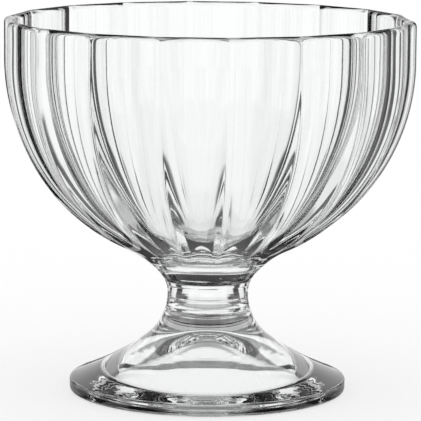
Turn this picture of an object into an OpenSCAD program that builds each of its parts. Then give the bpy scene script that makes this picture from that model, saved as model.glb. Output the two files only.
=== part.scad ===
// Clear pressed-glass dessert glass: a fluted bowl on a short solid stem and a round hollow foot.
// The outside is one smooth line of arcs, tangent to each other, from the foot's edge to the lip.
// Millimetres, Z up, standing on z = 0 with the axis of the glass on Z.

/* [Bowl] */
// Outside diameter over the ridges at the rim, also the diameter of the round belly
rim_d = 105.2; // [80:0.2:130]
// Height of the straight wall above the round belly
rim_straight_h = 10.6; // [4:0.2:40]
// Thickness of the wall at the ridges
wall_t = 3; // [2.6:0.1:5]
// Thickness of the glass under the middle of the bowl, down to the top of the stem
floor_t = 8.4; // [6:0.1:12]
// Height over which the fire-polished lip is rounded
lip_h = 1.5; // [0.6:0.1:3]

/* [Flutes] */
// Number of hollow flutes round the bowl
flute_count = 18; // [12:1:30]
// Radius of a flute's hollow, measured across it
flute_r = 41; // [30:1:90]
// Width of the ridge that is left between two flutes
ridge_w = 1.3; // [0.6:0.1:3]
// Direction of the first ridge, counted to the right from the front
first_ridge_angle = 6; // [-10:0.5:10]

/* [Stem] */
// Diameter at the narrowest place
waist_d = 20.8; // [16:0.2:26]
// Length of the straight part of the waist
waist_h = 0.3; // [0.2:0.1:40]
// Radius of the tight sweep above the waist
neck_r = 7.4; // [5:0.1:10]
// Angle through which the tight sweep turns
neck_turn = 41; // [30:1:46]
// Radius of the wide sweep that runs on under the belly
collar_r = 28.5; // [20:0.5:34]
// Height of the stem piece above the waist
stem_above_h = 3.4; // [2:0.1:4]
// Height of the stem piece below the waist
stem_below_h = 3.5; // [2:0.1:6]

/* [Foot] */
// Outside diameter of the foot
foot_d = 71; // [62:0.5:84]
// Height of the foot's upright edge
edge_h = 2.6; // [2:0.1:5]
// Radius of the shoulder above the edge
shoulder_r = 0.8; // [0.4:0.1:1.5]
// Radius of the lower corner of the edge
heel_r = 0.9; // [0.4:0.1:1.5]
// Slope of the foot's top just inside the shoulder
foot_slope = 20.4; // [14:0.2:24]
// Radius of the foot's long upper sweep
foot_sweep_r = 75; // [60:1:100]
// Radius of the sweep between the foot and the waist
ankle_r = 14; // [10:0.5:18]
// Diameter of the hollow under the foot, where it meets the standing ring
hollow_d = 48; // [44:0.5:56]
// Height of the hollow under the foot
hollow_h = 13; // [9:0.2:14]
// Radius of the round top of the hollow
hollow_top_r = 10; // [6:0.5:14]
// Radius of the hollow's side where it turns down to the standing ring
hollow_side_r = 28; // [24:0.5:40]

/* [Hidden] */
$fn = 144;
glass_colour = [0.84, 0.88, 0.89, 0.5];
overrun = 1;
arc_step = 4;

belly_r = rim_d / 2;
waist_r = waist_d / 2;
foot_r = foot_d / 2;
cavity_r = belly_r - wall_t;
hollow_r = hollow_d / 2;

// A point at a distance from another one, in a direction counted from the radial axis
function away(from, distance, angle) = from + distance * [cos(angle), sin(angle)];

// The foot's top: the shoulder, the long sweep and the ankle touch one another
shoulder = [foot_r - shoulder_r, edge_h];
sweep_angle = 90 - foot_slope;
sweep = away(shoulder, shoulder_r + foot_sweep_r, sweep_angle);
ankle_x = waist_r + ankle_r;
ankle_drop = sqrt(pow(foot_sweep_r - ankle_r, 2) - pow(sweep[0] - ankle_x, 2));
ankle = [ankle_x, sweep[1] - ankle_drop];
ankle_angle = atan2(ankle[1] - sweep[1], ankle[0] - sweep[0]);

// The waist and the sweeps above it, which end against the round belly
waist_z = ankle[1];
neck = [waist_r + neck_r, waist_z + waist_h];
neck_angle = 180 - neck_turn;
neck_end = away(neck, neck_r, neck_angle);
collar = away(neck_end, collar_r, -neck_turn);
belly_z = collar[1] + sqrt(pow(belly_r + collar_r, 2) - pow(collar[0], 2));
belly = [0, belly_z];
belly_angle = atan2(collar[1] - belly_z, collar[0]);
belly_end = away(belly, belly_r, belly_angle);
total_h = belly_z + rim_straight_h;

// The two flat joints, and the floor of the bowl
lower_joint_z = waist_z - stem_below_h;
upper_joint_z = neck[1] + stem_above_h;
floor_z = upper_joint_z + floor_t;

// The hollow's round top and its round side both touch one straight slope, which is as steep as the
// line from the hollow's highest point to its rim
hollow_slope = atan2(hollow_h, hollow_r);
hollow_top = [0, hollow_h - hollow_top_r];
slope_out = [sin(hollow_slope), cos(hollow_slope)];
slope_down = [cos(hollow_slope), -sin(hollow_slope)];
to_rim = [hollow_r, 0] - hollow_top;
side_inset = hollow_side_r - hollow_top_r;
side_reach = sqrt(pow(hollow_side_r, 2) - pow(to_rim * slope_out + side_inset, 2));
hollow_side = hollow_top - side_inset * slope_out + (to_rim * slope_down - side_reach) * slope_down;
hollow_rim_angle = atan2(-hollow_side[1], hollow_r - hollow_side[0]);

// Half the angle that one flute and its share of the ridges take up
half_pitch = 180 / flute_count;
// Rise of a flute's hollow per square of the distance from its middle, on a round belly
flute_rise = 1 / (2 * flute_r) + 1 / (2 * belly_r);
// Places across one flute where its hollow is measured, from ridge to ridge
flute_shares = [-1, -2 / 3, -1 / 3, 0, 1 / 3, 2 / 3, 1];

// A rectangle in the half section, from the axis out to a radius and between two heights
module band(radius, low, high) {
    translate([0, low])
        square([radius, high - low]);
}

// Points along an arc, from one direction to another, one every few degrees
function arc(centre, radius, from, to) =
    let (steps = ceil(abs(to - from) / arc_step))
    [for (i = [0 : steps]) away(centre, radius, from + (to - from) * i / steps)];

// Half section of the foot, the waist and the sweeps up to the belly, closed at the belly's centre
module lower_section() {
    polygon(concat(
        [[0, 0]],
        arc([foot_r - heel_r, heel_r], heel_r, -90, 0),
        arc(shoulder, shoulder_r, 0, sweep_angle),
        arc(sweep, foot_sweep_r, sweep_angle - 180, ankle_angle),
        arc(ankle, ankle_r, ankle_angle, -180),
        arc(neck, neck_r, 180, neck_angle),
        arc(collar, collar_r, neck_angle, belly_angle + 180),
        [belly]
    ));
}

// The piece of the turned outer shape that lies between two heights
module turned(low, high) {
    rotate_extrude()
        intersection() {
            lower_section();
            band(foot_d, low, high);
        }
}

// Points along the outside of the bowl, each with the direction that faces out of the glass
function facing(centre, radius, from, to, steps, side) =
    [for (i = [0 : steps])
        let (angle = from + (to - from) * i / steps)
        [away(centre, radius, angle), side * [cos(angle), sin(angle)]]];

joint_angle = 180 - asin(stem_above_h / neck_r);
outer_stations = concat(
    facing(neck, neck_r, joint_angle, neck_angle, 2, -1),
    tail(facing(collar, collar_r, neck_angle, belly_angle + 180, 3, -1)),
    tail(facing(belly, belly_r, belly_angle, 0, 13, 1))
);

// A list without its first entry
function tail(list) = [for (i = [1 : len(list) - 1]) list[i]];

// Half the width of a flute where the bowl has a given radius: the ridges narrow with the bowl
function flute_half_w(radius) = radius * (sin(half_pitch) - ridge_w / rim_d);

// Depth of a flute in its middle: at the rim it leaves the ridges their width, further down it keeps
// more of its depth than of its width, and it runs out towards the joint with the stem
function flute_depth(station) =
    let (runout = min(1, (station[0][1] - upper_joint_z) / (belly_end[1] - upper_joint_z)))
    runout * flute_rise * pow(flute_half_w(belly_r), 2) * sqrt(station[0][0] / belly_r);

// How much glass a flute takes away at a share of its half width
function flute_cut(station, share) = flute_depth(station) * (1 - share * share);

// Direction, seen from above, of a place across one flute
function flute_angle(flute, share, radius) =
    -90 + first_ridge_angle + (2 * flute + 1) * half_pitch + asin(share * flute_half_w(radius) / radius);

// A ring of points round the fluted wall
function fluted_ring(station) =
    [for (flute = [0 : flute_count - 1], share = flute_shares)
        let (
            angle = flute_angle(flute, share, station[0][0]),
            point = station[0] - flute_cut(station, share) * station[1]
        )
        [point[0] * cos(angle), point[0] * sin(angle), point[1]]];

// A ring round the lip, which is rounded over whatever thickness of glass the flutes leave
function lip_ring(tilt) =
    [for (flute = [0 : flute_count - 1], share = flute_shares)
        let (
            angle = flute_angle(flute, share, belly_r),
            glass_t = wall_t - flute_cut(rim_station, share),
            radius = cavity_r + glass_t / 2 * (1 + cos(tilt))
        )
        [radius * cos(angle), radius * sin(angle), total_h - lip_h * (1 - sin(tilt))]];

// A plain ring round the inside, with its points in line with those of the wall
function inner_ring(radius, height) =
    [for (flute = [0 : flute_count - 1], share = flute_shares)
        let (angle = flute_angle(flute, share, belly_r))
        [radius * cos(angle), radius * sin(angle), height]];

rim_station = [[belly_r, total_h], [1, 0]];
floor_angle = asin((floor_z - belly_z) / cavity_r);
inner_steps = 8;
bowl_rings = concat(
    [for (station = outer_stations) fluted_ring(station)],
    [for (tilt = [0 : 36 : 180]) lip_ring(tilt)],
    [for (i = [0 : inner_steps])
        let (point = away(belly, cavity_r, floor_angle * i / inner_steps))
        inner_ring(point[0], point[1])]
);

// A closed solid through a list of rings that all have as many points
module loft(rings) {
    count = len(rings[0]);
    last = len(rings) - 1;
    sides = [for (i = [0 : last - 1], j = [0 : count - 1])
        [i * count + j, (i + 1) * count + j, (i + 1) * count + (j + 1) % count, i * count + (j + 1) % count]];
    bottom = [for (j = [0 : count - 1]) j];
    top = [for (j = [count - 1 : -1 : 0]) last * count + j];
    polyhedron(points = [for (ring = rings) each ring], faces = concat([bottom], sides, [top]));
}

module bowl() {
    color(glass_colour)
        loft(bowl_rings);
}

module stem() {
    color(glass_colour)
        turned(lower_joint_z, upper_joint_z);
}

module foot() {
    color(glass_colour)
        difference() {
            turned(0, lower_joint_z);
            rotate_extrude()
                hollow_section();
        }
}

// Half section of the hollow under the foot: a round side, a straight slope and a round top
module hollow_section() {
    polygon(concat(
        [[0, -overrun], [hollow_r, -overrun]],
        arc(hollow_side, hollow_side_r, hollow_rim_angle, 90 - hollow_slope),
        arc(hollow_top, hollow_top_r, 90 - hollow_slope, 90)
    ));
}

bowl();
stem();
foot();
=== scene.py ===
# %% [markdown]
# # A fluted glass dessert cup
# The cup is one clear material from lip to foot, so everything that the eye reads comes from how its
# surfaces bend light: eighteen hollow flutes outside, a plain round inside, a thick waist and a hollow
# foot. The CAD frame gives the three pieces their places. Each is modelled again here as a fine, smooth
# mesh, because facets that don't matter to a solid show at once in clear glass.

# %% Load the frame
import bpy
import math
from mathutils import Euler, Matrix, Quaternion, Vector
from mathutils.kdtree import KDTree


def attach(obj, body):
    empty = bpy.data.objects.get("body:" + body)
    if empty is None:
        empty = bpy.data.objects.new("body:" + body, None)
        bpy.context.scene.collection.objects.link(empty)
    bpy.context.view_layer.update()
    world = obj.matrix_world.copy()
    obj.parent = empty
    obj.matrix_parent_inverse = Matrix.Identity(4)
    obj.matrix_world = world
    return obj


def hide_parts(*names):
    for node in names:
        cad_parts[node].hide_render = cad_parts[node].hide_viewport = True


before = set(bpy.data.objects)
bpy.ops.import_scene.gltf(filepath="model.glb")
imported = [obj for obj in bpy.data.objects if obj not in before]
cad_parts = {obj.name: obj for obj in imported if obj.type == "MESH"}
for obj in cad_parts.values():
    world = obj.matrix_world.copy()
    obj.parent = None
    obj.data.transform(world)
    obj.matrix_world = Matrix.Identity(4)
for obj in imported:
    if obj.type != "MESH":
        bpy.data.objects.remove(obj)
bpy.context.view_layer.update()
mm = 0.001

# %% [markdown]
# ## The outline of the glass
# A mould maker draws a glass as one line of arcs that touch one another: the shoulder of the foot, a long
# sweep, the ankle, the waist, the neck, the collar and the round belly. It could be drawn freely with a
# curve, but here each centre follows from the one before, so the line has no kink anywhere, and a kink in
# clear glass would show as a hard dark streak. The sizes are those of the CAD model.

# %% Sizes of the bowl and the stem
rim_r = 52.6 * mm
rim_straight_h = 10.6 * mm
wall_t = 3 * mm
floor_t = 8.4 * mm
lip_h = 1.5 * mm
collar_r = 28.5 * mm
neck_r = 7.4 * mm
neck_turn = 41
waist_r = 10.4 * mm
waist_h = 0.3 * mm
stem_above_h = 3.4 * mm
stem_below_h = 3.5 * mm
print(f"rim {2 * rim_r / mm:.1f} mm across, waist {2 * waist_r / mm:.1f} mm across")

# %% Sizes of the foot
foot_r = 35.5 * mm
edge_h = 2.6 * mm
shoulder_r = 0.8 * mm
heel_r = 0.9 * mm
foot_slope = 20.4
foot_sweep_r = 75 * mm
ankle_r = 14 * mm
hollow_r = 24 * mm
hollow_h = 13 * mm
hollow_top_r = 10 * mm
hollow_side_r = 28 * mm
print(f"foot {2 * foot_r / mm:.1f} mm across, hollow {2 * hollow_r / mm:.1f} mm across")


# %% Places and directions in the half section
def away(start, distance, angle):
    """A point of the half section at a distance from another, in a direction in degrees."""
    turned = math.radians(angle)
    return Vector((start[0] + distance * math.cos(turned), start[1] + distance * math.sin(turned)))


def direction(start, end):
    """Direction in degrees from one point of the half section to another."""
    return math.degrees(math.atan2(end[1] - start[1], end[0] - start[0]))


print("a step of 1 mm straight up:", away((0, 0), 1 * mm, 90))

# %% Centres of the foot's arcs
shoulder = Vector((foot_r - shoulder_r, edge_h))
sweep = away(shoulder, shoulder_r + foot_sweep_r, 90 - foot_slope)
ankle_x = waist_r + ankle_r
ankle_drop = math.sqrt((foot_sweep_r - ankle_r) ** 2 - (sweep.x - ankle_x) ** 2)
ankle = Vector((ankle_x, sweep.y - ankle_drop))
ankle_angle = direction(sweep, ankle)
lower_joint = ankle.y - stem_below_h
print(f"waist at {ankle.y / mm:.2f} mm, lower joint at {lower_joint / mm:.2f} mm")

# %% Centres of the neck, the collar and the belly
neck = Vector((waist_r + neck_r, ankle.y + waist_h))
neck_angle = 180 - neck_turn
collar = away(away(neck, neck_r, neck_angle), collar_r, -neck_turn)
belly = Vector((0, collar.y + math.sqrt((rim_r + collar_r) ** 2 - collar.x ** 2)))
belly_angle = direction(belly, collar)
upper_joint = neck.y + stem_above_h
cavity_r = rim_r - wall_t
floor_z = upper_joint + floor_t
total_h = belly.y + rim_straight_h
print(f"height {total_h / mm:.2f} mm, upper joint at {upper_joint / mm:.2f} mm")
print(f"inside, the bowl's floor lies at {floor_z / mm:.2f} mm")

# %% [markdown]
# ## How fine a curve has to be
# A lens is ground smooth, and a mesh can only come near that: the shorter its steps, the smaller the jumps
# in the light behind it. Steps of under a millimetre do for the long sweeps, and the small rounded corners
# take much shorter ones. A step length serves every arc here, because it gives large and small arcs the
# detail they need, which a fixed number of points would not.

# %% Points along an arc
fine = 0.8 * mm
finer = 0.4 * mm
finest = 0.2 * mm


def arc(centre, radius, start, end, step):
    """Points of an arc from one direction to another, at most a step apart."""
    length = abs(math.radians(end - start)) * radius
    count = max(1, math.ceil(length / step))
    return [away(centre, radius, start + (end - start) * i / count) for i in range(count + 1)]


def straight(start, end, count):
    """Evenly spaced points from one point to another, without the first."""
    return [start + (end - start) * i / count for i in range(1, count + 1)]


long_sweep = arc(sweep, foot_sweep_r, -90 - foot_slope, ankle_angle, fine)
print(len(long_sweep), "points along the foot's long sweep")

# %% [markdown]
# ## Turning a piece
# Before the flutes are pressed, every piece of the glass is round. A half section is drawn point by point
# with extrude, from a plane whose corners are merged to one point, and spun round the axis, and then the
# seam and the poles are merged and the faces are made to point out. A Screw modifier would give the same
# surface, but the spin leaves plain rings of points at once, which the flutes need later.

# %% Turn a half section
merge_gap = 0.001 * mm


def turn(name, section, steps):
    """Spins a half section, given as radius and height, into a closed smooth solid."""
    bpy.ops.object.select_all(action="DESELECT")
    bpy.ops.mesh.primitive_plane_add(size=mm, location=(0, 0, 0))
    piece = bpy.context.object
    piece.name = piece.data.name = name
    bpy.ops.object.mode_set(mode="EDIT")
    bpy.ops.mesh.merge(type="CENTER")
    here = Vector((section[0][0], 0, section[0][1]))
    bpy.ops.transform.translate(value=here)
    for radius, height in section[1:]:
        there = Vector((radius, 0, height))
        bpy.ops.mesh.extrude_region_move(TRANSFORM_OT_translate={"value": there - here})
        here = there
    bpy.ops.mesh.select_all(action="SELECT")
    bpy.ops.mesh.spin(steps=steps, angle=math.tau, center=(0, 0, 0), axis=(0, 0, 1))
    bpy.ops.mesh.select_all(action="SELECT")
    bpy.ops.mesh.remove_doubles(threshold=merge_gap)
    bpy.ops.mesh.normals_make_consistent(inside=False)
    bpy.ops.object.mode_set(mode="OBJECT")
    bpy.ops.object.shade_smooth()
    print(name, len(piece.data.vertices), "vertices", len(piece.data.polygons), "faces")
    return piece


# %% [markdown]
# ## The bowl's section
# On the real glass a plunger forms the round inside and the mould forms the outside, and the lip is
# rounded by a flame. So the section runs up the outside through the neck, the collar and the belly, over
# the lip, and down the inside to the floor. The inside is drawn with longer steps, because its curve is
# even and wide.

# %% Outside of the bowl
wall_rows = 8
joint_angle = 180 - math.degrees(math.asin(stem_above_h / neck_r))
lip_z = total_h - lip_h
outside = (
    [Vector((0, upper_joint))]
    + arc(neck, neck_r, joint_angle, neck_angle, fine)
    + arc(collar, collar_r, neck_angle, belly_angle + 180, fine)[1:]
    + arc(belly, rim_r, belly_angle, 0, 1.2 * fine)[1:]
    + straight(Vector((rim_r, belly.y)), Vector((rim_r, lip_z)), wall_rows)
)
print(len(outside), "points up the outside")

# %% Lip and inside
lip_rows = 16
floor_angle = math.degrees(math.asin((floor_z - belly.y) / cavity_r))


def lip_point(tilt):
    """A point of the lip: half an ellipse as wide as the wall, from the outside over to the inside."""
    return Vector((cavity_r + wall_t / 2 * (1 + math.cos(tilt)), lip_z + lip_h * math.sin(tilt)))


lip = [lip_point(math.pi * i / lip_rows) for i in range(1, lip_rows + 1)]
inside = (
    straight(Vector((cavity_r, lip_z)), Vector((cavity_r, belly.y)), wall_rows)
    + arc(belly, cavity_r, 0, floor_angle, 2 * fine)[1:]
    + [Vector((0, floor_z))]
)
bowl_section = outside + lip + inside
print(len(bowl_section), "points in the bowl's section, floor reached at", round(floor_angle, 1), "degrees")

# %% [markdown]
# ## The flutes
# Eighteen hollow flutes run down the outside, with a narrow ridge between each two. In the mould they are
# eighteen round ribs. They could be cut with eighteen Boolean cylinders, but those leave thin slivers of
# faces on the ridges, and the width and depth of a real flute change all the way down. So the bowl is spun
# with as many steps as the flutes need, and its points are then pressed inwards by a rule. The points lie
# closer together near the ridges, because that is where the surface turns fastest.

# %% Sizes of the flutes
flute_count = 18
flute_r = 41 * mm
ridge_w = 1.3 * mm
first_ridge_angle = 6
half_pitch = math.pi / flute_count
flute_rise = 1 / (2 * flute_r) + 1 / (2 * rim_r)
first_flute = -math.pi / 2 + math.radians(first_ridge_angle)
print(f"a flute and its ridge take up {math.degrees(2 * half_pitch):.0f} degrees")

# %% Places across a flute and its ridge
half_places = [0, 0.012, 0.026, 0.045, 0.075, 0.12, 0.19, 0.28, 0.38, 0.5]
other_half = [0.5 - place for place in reversed(half_places[:-1])]
flute_places = [place - 0.5 for place in half_places] + other_half
ridge_places = [0.25, 0.5, 0.75]
steps_per_flute = len(flute_places) + len(ridge_places)
bowl_steps = flute_count * steps_per_flute
print(steps_per_flute, "steps for each flute,", bowl_steps, "round the bowl")


# %% Width of a flute
def ridge_middle(radius):
    """Distance across from the middle of a flute to the middle of the ridge beside it."""
    return radius * math.sin(half_pitch)


def flute_half(radius):
    """Half the width of a flute where the bowl has a given radius: the ridges narrow with the bowl."""
    return radius * (math.sin(half_pitch) - ridge_w / (2 * rim_r))


print(f"a flute is {2 * flute_half(rim_r) / mm:.2f} mm wide at the rim")

# %% [markdown]
# ### How deep a flute is
# A flute is a shallow round hollow. Its depth falls with the square of the distance from its middle and is
# nothing at the ridge. Fire polishing softens that edge, more at the thick lower part, which stays hot
# longest, so the depth goes over into the ridge by a smooth curve and not by a corner. Just above the neck
# the flutes fade out, because the stem below is round.

# %% Depth of a flute
ridge_soft = 0.04 * mm
ridge_soft_low = 0.1 * mm
soft_from, soft_to = 45 * mm, 75 * mm
fade_from, fade_to = 34 * mm, 44 * mm
flute_power = 1.5


def ease(low, high, value):
    """0 below low, 1 above high and a soft change between them."""
    share = min(1, max(0, (value - low) / (high - low)))
    return share * share * (3 - 2 * share)


def cut_at(radius, height, across):
    """Depth of glass that a flute takes away at a distance from its middle."""
    fade = ease(fade_from, fade_to, height)
    steepness = fade * flute_rise * (rim_r / radius) ** flute_power
    depth = steepness * (flute_half(radius) ** 2 - across ** 2)
    soft = fade * (ridge_soft_low + (ridge_soft - ridge_soft_low) * ease(soft_from, soft_to, height))
    return (depth + math.sqrt(depth * depth + soft * soft)) / 2


print(f"a flute is {cut_at(rim_r, total_h, 0) / mm:.2f} mm deep at the rim")

# %% [markdown]
# ### Which way the glass is pressed
# The ribs of the mould press square to the skin. On the straight wall that is towards the axis, and lower
# down it turns with the belly, the collar and the neck. The direction comes from the centre of the arc that
# the point lies on, which is exact, where a mesh normal would only be near it.

# %% Direction out of the glass
belly_end = away(belly, rim_r, belly_angle)
neck_end = away(neck, neck_r, neck_angle)


def outward(point):
    """Direction in the half section that faces out of the glass."""
    if point.y >= belly.y:
        return Vector((1, 0))
    if point.y > belly_end.y:
        return (point - belly).normalized()
    if point.y > neck_end.y:
        return (collar - point).normalized()
    return (neck - point).normalized()


print("square to the skin at the collar:", outward(neck_end + Vector((0, mm))))


# %% Where a point goes across its flute
def across_flute(place, radius):
    """Distance from the middle of the flute: over the hollow first, and then over the ridge."""
    half = flute_half(radius)
    if place < len(flute_places):
        return 2 * half * flute_places[place]
    return half + 2 * (ridge_middle(radius) - half) * ridge_places[place - len(flute_places)]


def angle_across(across, past, radius):
    """Angle from the middle of the flute, measured from the next flute when the place is nearer to it."""
    if abs(across) < ridge_middle(radius):
        return math.asin(across / radius)
    return 2 * half_pitch - math.asin(past / radius)


print([round(across_flute(place, rim_r) / mm, 2) for place in range(steps_per_flute)], "mm across a flute")


# %% Rows of the section
def section_rows(section):
    """A lookup that finds which point of the section a point of the turned piece came from."""
    rows = KDTree(len(section))
    for index, point in enumerate(section):
        rows.insert((point[0], point[1], 0), index)
    rows.balance()
    return rows


bowl_rows = section_rows(bowl_section)
print("the rim's outer edge is row", bowl_rows.find((rim_r, lip_z, 0))[1])


# %% Press the flutes
def pressed(x, y, z):
    """Place of a point of the bowl when the flutes are pressed."""
    radius = math.hypot(x, y)
    flute, place = divmod(round(math.atan2(y, x) / (math.tau / bowl_steps)) % bowl_steps, steps_per_flute)
    row = bowl_rows.find((radius, z, 0))[1]
    width_r = radius if row < len(outside) else rim_r
    across = across_flute(place, width_r)
    past = 2 * ridge_middle(width_r) - across
    angle = first_flute + (2 * flute + 1) * half_pitch + angle_across(across, past, width_r)
    nearest = min(abs(across), abs(past))
    if row < len(outside):
        point = Vector((radius, z))
        point -= cut_at(radius, z, nearest) * outward(point)
        radius, z = point
    elif row < len(outside) + len(lip) - 1:
        radius = cavity_r + (radius - cavity_r) * (wall_t - cut_at(rim_r, total_h, nearest)) / wall_t
    return radius * math.cos(angle), radius * math.sin(angle), z


def press_flutes(piece):
    """Moves all points of the turned bowl but the two on the axis."""
    for vertex in piece.data.vertices:
        if math.hypot(vertex.co.x, vertex.co.y) > merge_gap:
            vertex.co = pressed(*vertex.co)
    piece.data.update()


bowl = turn("bowl_glass", bowl_section, bowl_steps)
press_flutes(bowl)
print("bowl", [round(side / mm, 2) for side in bowl.dimensions], "mm")

# %% [markdown]
# ## The stem
# The stem is the short solid waist of the glass, gathered hot between the bowl and the foot. It is drawn
# from the lower joint through the ankle and the neck to the upper joint, with short steps, because a thick
# round waist is a strong lens and shows every facet.

# %% Turn the stem
stem_steps = 180
ankle_end = -180 + math.degrees(math.asin(stem_below_h / ankle_r))
stem_section = (
    [Vector((0, lower_joint))]
    + arc(ankle, ankle_r, ankle_end, -180, finer)
    + arc(neck, neck_r, 180, joint_angle, finer)
    + [Vector((0, upper_joint))]
)
stem = turn("stem_glass", stem_section, stem_steps)

# %% [markdown]
# ## The hollow under the foot
# A foot that stood on its whole underside would rock on the smallest bump, and thick glass cools unevenly,
# so the mould leaves a hollow. Seen through the foot, it is the bright arch in the middle. Its round top
# and its round side both touch one straight slope. It could be a plain dome, but a dome bends the light in
# one sweep and misses the two long arms of that arch.

# %% Arcs of the hollow
hollow_slope = math.degrees(math.atan2(hollow_h, hollow_r))
hollow_top = Vector((0, hollow_h - hollow_top_r))
hollow_rim = Vector((hollow_r, 0))
square_to_slope = away((0, 0), 1, 90 - hollow_slope)
down_slope = away((0, 0), 1, -hollow_slope)
to_rim = hollow_rim - hollow_top
inset = hollow_side_r - hollow_top_r
reach_down = math.sqrt(hollow_side_r ** 2 - (to_rim.dot(square_to_slope) + inset) ** 2)
hollow_side = hollow_top - square_to_slope * inset + down_slope * (to_rim.dot(down_slope) - reach_down)
print(f"the hollow's side slopes by {hollow_slope:.1f} degrees")

# %% Turn the foot
foot_steps = 240
ring_rows = 6
heel = Vector((foot_r - heel_r, heel_r))
foot_section = (
    [Vector((0, hollow_h))]
    + arc(hollow_top, hollow_top_r, 90, 90 - hollow_slope, finer)[1:]
    + arc(hollow_side, hollow_side_r, 90 - hollow_slope, direction(hollow_side, hollow_rim), finer)
    + straight(hollow_rim, Vector((heel.x, 0)), ring_rows)
    + arc(heel, heel_r, -90, 0, finest)[1:]
    + arc(shoulder, shoulder_r, 0, 90 - foot_slope, finest)
    + long_sweep[1:]
    + arc(ankle, ankle_r, ankle_angle, ankle_end, finer)[1:]
    + [Vector((0, lower_joint))]
)
foot = turn("foot_glass", foot_section, foot_steps)

# %% [markdown]
# ## Shader maths as expressions
# A finish is a small sum: waves plus rings minus a seam. Node by node such a sum takes pages, so a number
# in a shader is wrapped in a class that Python's own plus, minus and times work with, and each of them adds
# its Math node. Any other node comes from one method, which is given the node's type, its settings and the
# values of its sockets.

# %% Numbers of a shader
class Value:
    """A number or vector in a shader, which Python's own operators can work with."""

    def __init__(self, tree, socket):
        self.tree, self.socket = tree, socket

    @classmethod
    def node(cls, tree, kind, settings, *inputs, output=0, **named):
        """Adds a node with its settings, fills its sockets in order or by name, and gives one output."""
        new = tree.nodes.new(kind)
        for name, setting in settings.items():
            if name == "stops":
                cls.set_stops(new.color_ramp.elements, setting)
            else:
                setattr(new, name, setting)
        for key, value in [*enumerate(inputs), *named.items()]:
            socket = new.inputs[key]
            if isinstance(value, Value):
                tree.links.new(value.socket, socket)
            else:
                socket.default_value = value
        return cls(tree, new.outputs[output])

    @staticmethod
    def set_stops(elements, stops):
        """Gives a ramp its stops, each with its place from 0 to 1 and its brightness."""
        while len(elements) < len(stops):
            elements.new(1)
        for element, (place, brightness) in zip(elements, stops):
            element.position = place
            element.color = (brightness, brightness, brightness, 1)

    def math(self, operation, *others):
        return Value.node(self.tree, "ShaderNodeMath", {"operation": operation}, self, *others)

    def smooth(self, low, high):
        """0 below low, 1 above high and a soft change between them."""
        soft = {"interpolation_type": "SMOOTHSTEP"}
        return Value.node(self.tree, "ShaderNodeMapRange", soft, self, low, high, 0, 1)

    def __add__(self, other):
        return self.math("ADD", other)

    def __radd__(self, other):
        return self.math("ADD", other)

    def __sub__(self, other):
        return self.math("SUBTRACT", other)

    def __rsub__(self, other):
        return Value.node(self.tree, "ShaderNodeMath", {"operation": "SUBTRACT"}, other, self)

    def __mul__(self, other):
        return self.math("MULTIPLY", other)

    def __rmul__(self, other):
        return self.math("MULTIPLY", other)

    def __truediv__(self, other):
        return self.math("DIVIDE", other)

    def __rtruediv__(self, other):
        return Value.node(self.tree, "ShaderNodeMath", {"operation": "DIVIDE"}, other, self)


print("operators of a shader number: + - * /")


# %% Places in a shader
def place_in(tree, system):
    """A place in one of the coordinate systems, as a whole and as its x, y and z."""
    place = Value.node(tree, "ShaderNodeTexCoord", {}, output=system)
    return place, *(Value.node(tree, "ShaderNodeSeparateXYZ", {}, place, output=axis) for axis in "XYZ")


def from_axis(x, y):
    """Distance from the upright axis of the glass."""
    return (x * x + y * y).math("SQRT")


print("shader places are read from Object coordinates on pieces, and from Generated in the world")

# %% [markdown]
# ## The finish of the glass
# Fire-polished soda-lime glass is clear and very smooth, but never flat: the mould leaves faint waves in
# its skin, the foot keeps faint rings from being turned, and where two hot pieces were joined a shallow
# seam wanders round the waist. Real relief in the mesh would need millions of faces for so little, so these
# go into the bump. The faint green-blue tint is that of iron in the sand.

# %% Waves, rings and seams
wave_scale, wave_h = 120, 0.02 * mm
ring_scale, ring_h = 500, 0.02 * mm
seam_scale, seam_wander = 90, 1.2 * mm
seam_w, seam_depth = 1 * mm, 0.25 * mm
wave_detail, plain_detail = 2.0, 1.0


def mould_waves(tree, place):
    """Faint waves that the mould leaves in the skin, as a height."""
    waves = Value.node(tree, "ShaderNodeTexNoise", {}, Vector=place, Scale=wave_scale, Detail=wave_detail)
    return waves * wave_h


def turned_rings(tree, radius, height):
    """Faint rings round the axis, as a height."""
    along = {"noise_dimensions": "1D"}
    rings = Value.node(tree, "ShaderNodeTexNoise", along, W=radius, Scale=ring_scale, Detail=plain_detail)
    return rings * height


def joint_seams(tree, place, z):
    """The two seams of the hot joints, as a depth. They wander a little up and down."""
    wander = Value.node(tree, "ShaderNodeTexNoise", {}, Vector=place, Scale=seam_scale, Detail=plain_detail)
    level = z + seam_wander * (wander - 0.5)
    upper = 1 - (level - upper_joint).math("ABSOLUTE").smooth(0, seam_w)
    lower = 1 - (level - lower_joint).math("ABSOLUTE").smooth(0, seam_w)
    return (upper + lower) * seam_depth


print(f"waves {wave_h / mm} mm, rings {ring_h / mm} mm, seams {seam_depth / mm} mm deep")

# %% Clear glass
glass_tint = (0.988, 0.995, 0.995, 1)
glass_index = 1.52


def clear_glass(name, rings_height):
    """Clear fire-polished glass that bends light, with its relief in the bump."""
    material = bpy.data.materials.new(name)
    material.use_nodes = True
    tree = material.node_tree
    shader = tree.nodes["Principled BSDF"]
    shader.inputs["Base Color"].default_value = glass_tint
    shader.inputs["Transmission Weight"].default_value = 1
    shader.inputs["Roughness"].default_value = 0
    shader.inputs["IOR"].default_value = glass_index
    place, x, y, z = place_in(tree, "Object")
    rings = turned_rings(tree, from_axis(x, y), rings_height)
    relief = mould_waves(tree, place) + rings - joint_seams(tree, place, z)
    bump = Value.node(tree, "ShaderNodeBump", {}, Height=relief, Strength=1.0, Distance=1.0)
    tree.links.new(bump.socket, shader.inputs["Normal"])
    print(name, "has", len(tree.nodes), "nodes")
    return material


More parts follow.
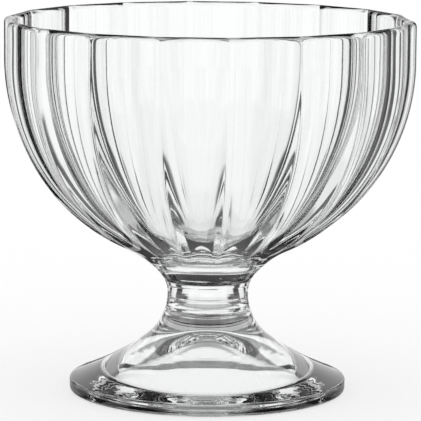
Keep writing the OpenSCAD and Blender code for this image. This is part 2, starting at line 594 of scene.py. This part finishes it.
glass = clear_glass("clear_pressed_glass", 0)
foot_glass = clear_glass("clear_turned_glass", ring_h)

# %% [markdown]
# ## The fused joints
# Where bowl, stem and foot were joined hot, the glass has run together, and there is no surface inside. The
# three pieces stay apart as solids, so each has a flat face there, and light would bend at both. Deleting
# the faces would leave the pieces open, so they stay and get a finish that light doesn't see.

# %% Unseen faces in the joints
level_enough = 0.999
joint_reach = 0.01 * mm


def fused_joint(name):
    """A finish that lets light pass as if the face were not there."""
    material = bpy.data.materials.new(name)
    material.use_nodes = True
    material.node_tree.nodes["Principled BSDF"].inputs["Alpha"].default_value = 0
    return material


def in_joint(face):
    """Whether a face is level and lies in one of the two joints."""
    beside = min(abs(face.center.z - lower_joint), abs(face.center.z - upper_joint))
    return abs(face.normal.z) > level_enough and beside < joint_reach


joint = fused_joint("fused_joint")
for piece, skin in ((bowl, glass), (stem, glass), (foot, foot_glass)):
    piece.data.materials.append(skin)
    piece.data.materials.append(joint)
    joint_faces = [face for face in piece.data.polygons if in_joint(face)]
    for face in joint_faces:
        face.material_index = 1
        face.use_smooth = False
    print(piece.name, "has", len(joint_faces), "unseen faces")

# %% [markdown]
# ## The pieces and the frame
# Nothing on a glass moves, so all three pieces ride on the one body. Each stands for the CAD solid of the
# same form, which is hidden and stays for the collision.

# %% Ride and replace
for piece, node in ((bowl, "bowl"), (stem, "stem"), (foot, "foot")):
    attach(piece, "root")
    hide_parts(node)
    print(piece.name, "stands for", node)

# %% [markdown]
# ## Light and dark round the glass
# Clear glass has no colour of its own, and in an all-white room it would hardly be seen. A photographer
# puts bright and dark strips round it: the bright ones show through its middle, the dark ones draw its
# edges. Lamps and boards could do this, but they would also light the floor. Here the strips are a pattern
# of brightness that only light passing through or off the glass meets, and the camera still sees plain
# white. The pattern repeats on four sides, so the glass looks clear from every one of them.

# %% Strips of light
half_quarter = 45
bright_far = (
    (0, 1), (14, 1), (25, 0.92), (27.5, 0.8), (29, 0.03), (37.5, 0.03), (39, 0.9), (45, 0.9),
)
bright_low = ((0, 0.3), (8, 0.4), (11, 1), (26, 1), (29, 0.05), (37, 0.05), (39, 1), (45, 1))
bright_high = ((0, 0.12), (10, 0.15), (16, 0.3), (34, 0.1), (40, 0.9), (45, 0.9))
bright_top = ((0, 0.3), (45, 0.3))
bright_beside = ((0, 1), (18, 0.95), (24, 0.2), (30, 0.05), (37, 0.05), (39, 0.9), (45, 0.9))
bright_near = ((0, 0.88), (17, 0.88), (20, 0.1), (37, 0.1), (39, 0.9), (45, 0.9))
bright_close = ((0, 0.5), (20, 0.5), (22, 0.15), (37, 0.15), (39, 1), (45, 1))
bright_ring = ((0, 0.2), (45, 0.2))
bright_hollow = ((0, 0.97), (45, 0.97))
print("brightness straight behind the glass:", bright_far[0][1], "and beside it:", bright_far[4][1])


# %% Brightness round the glass
def all_round(tree, x, y, strips):
    """Brightness by direction round the glass, from strips given in degrees from the nearest side."""
    side = math.radians(half_quarter)
    around = x.math("ARCTAN2", y).math("PINGPONG", side) / side
    stops = [(degrees / half_quarter, brightness) for degrees, brightness in strips]
    return Value.node(tree, "ShaderNodeValToRGB", {"stops": stops}, around)


def blend_bands(tree, x, y, along, first, *others):
    """Goes from one band of strips to the next, each with the places where its change starts and ends."""
    light = all_round(tree, x, y, first)
    for low, high, strips in others:
        light = light + (all_round(tree, x, y, strips) - light) * along.smooth(low, high)
    return light


def seen_by(tree):
    """1 for light on its way off or through the glass, and 1 for light that goes straight to the camera."""
    glossy, through, camera_ray = (
        Value.node(tree, "ShaderNodeLightPath", {}, output=f"Is {ray} Ray")
        for ray in ("Glossy", "Transmission", "Camera")
    )
    return glossy.math("MAXIMUM", through), camera_ray


def grey_into(tree, value, socket):
    """Sends a number to a colour socket as a grey."""
    grey = Value.node(tree, "ShaderNodeCombineColor", {}, value, value, value)
    tree.links.new(grey.socket, socket)


print("bands are blended outwards on the floor and upwards in the world")

# %% [markdown]
# ## The floor
# The glass stands on a wide white table. Most of the floor's white is given to the camera directly and the
# rest comes from the light that falls on it, which is what lets the faint shadow show. A tenth of a
# millimetre of air lies under the standing ring, as under any real glass: with none, the glass and the
# floor would share one plane.

# %% Floor
floor_size = 12
air_gap = 0.1 * mm
shade_share = 0.4
bpy.ops.object.select_all(action="DESELECT")
bpy.ops.mesh.primitive_plane_add(size=floor_size, location=(0, 0, -air_gap))
floor = bpy.context.object
floor.name = "floor"
white = bpy.data.materials.new("white_floor")
white.use_nodes = True
tree = white.node_tree
shader = tree.nodes["Principled BSDF"]
shader.inputs["Roughness"].default_value = 1
shader.inputs["Specular IOR Level"].default_value = 0
shader.inputs["Emission Strength"].default_value = 1
floor.data.materials.append(white)
print(f"floor {floor_size} m wide, {air_gap / mm} mm under the glass")

# %% Light and dark on the floor
_, x, y, _ = place_in(tree, "Object")
by_glass, by_camera = seen_by(tree)
pattern = blend_bands(
    tree, x, y, from_axis(x, y), bright_hollow,
    (22 * mm, 27 * mm, bright_ring),
    (34 * mm, 38 * mm, bright_close),
    (55 * mm, 65 * mm, bright_near),
    (110 * mm, 130 * mm, bright_beside),
    (220 * mm, 280 * mm, bright_far),
)
grey_into(tree, shade_share * (1 - by_glass), shader.inputs["Base Color"])
grey_into(tree, pattern * by_glass + (1 - shade_share) * by_camera, shader.inputs["Emission Color"])
print("the floor's finish has", len(tree.nodes), "nodes")

# %% [markdown]
# ## The world
# Soft white light comes from all round at strength 1, at which a colour renders as it is written. The glass
# meets the strips instead, in bands that change with the height above the horizon. An area light for each
# strip would do the same with far more noise in the picture.

# %% World
world = bpy.data.worlds.new("studio")
bpy.context.scene.world = world
world.use_nodes = True
tree = world.node_tree
background = tree.nodes["Background"]
background.inputs["Strength"].default_value = 1.0
_, x, y, z = place_in(tree, "Generated")
by_glass, by_camera = seen_by(tree)
studio = blend_bands(
    tree, x, y, z.math("ARCSINE"), bright_far,
    (math.radians(8), math.radians(12), bright_low),
    (math.radians(28), math.radians(32), bright_high),
    (math.radians(52), math.radians(58), bright_top),
)
grey_into(tree, studio * by_glass + (1 - by_glass), background.inputs["Color"])
print("the world has", len(tree.nodes), "nodes")

# %% [markdown]
# ## The camera
# The ellipses of the rim and of the foot give the height and the distance of the camera, and the width of
# the rim gives the lens. The object fills the picture, so the lens is long. The photograph is turned by a
# fraction of a degree, and the camera is turned with it.

# %% Camera
sensor_mm, lens_mm = 36, 264.5
sideways_shift = 0.0052
camera_back, camera_h = 784.1 * mm, 167.3 * mm
look_down, roll = 8.77, 0.4
camera_data = bpy.data.cameras.new("camera")
camera = bpy.data.objects.new("camera", camera_data)
bpy.context.collection.objects.link(camera)
camera_data.sensor_width = sensor_mm
camera_data.lens = lens_mm
camera_data.shift_x = sideways_shift
camera.location = (0, -camera_back, camera_h)
camera.rotation_mode = "QUATERNION"
level_view = Euler((math.radians(90 - look_down), 0, 0)).to_quaternion()
camera.rotation_quaternion = level_view @ Quaternion((0, 0, 1), math.radians(roll))
bpy.context.scene.camera = camera
print(f"camera {camera_back / mm:.0f} mm in front of the axis, looking down by {look_down} degrees")

# %% [markdown]
# ## How colours and light are worked out
# Standard shows a colour as it is written. A ray meets up to a dozen surfaces on its way through the bowl,
# the waist and the foot, and each one counts as a bounce. With too few of them the thick parts turn black.

# %% Colours and bounces
scene = bpy.context.scene
scene.view_settings.view_transform = "Standard"
scene.cycles.max_bounces = 24
scene.cycles.transmission_bounces = 24
scene.cycles.transparent_max_bounces = 16
print("bounces:", scene.cycles.max_bounces, "view transform:", scene.view_settings.view_transform)
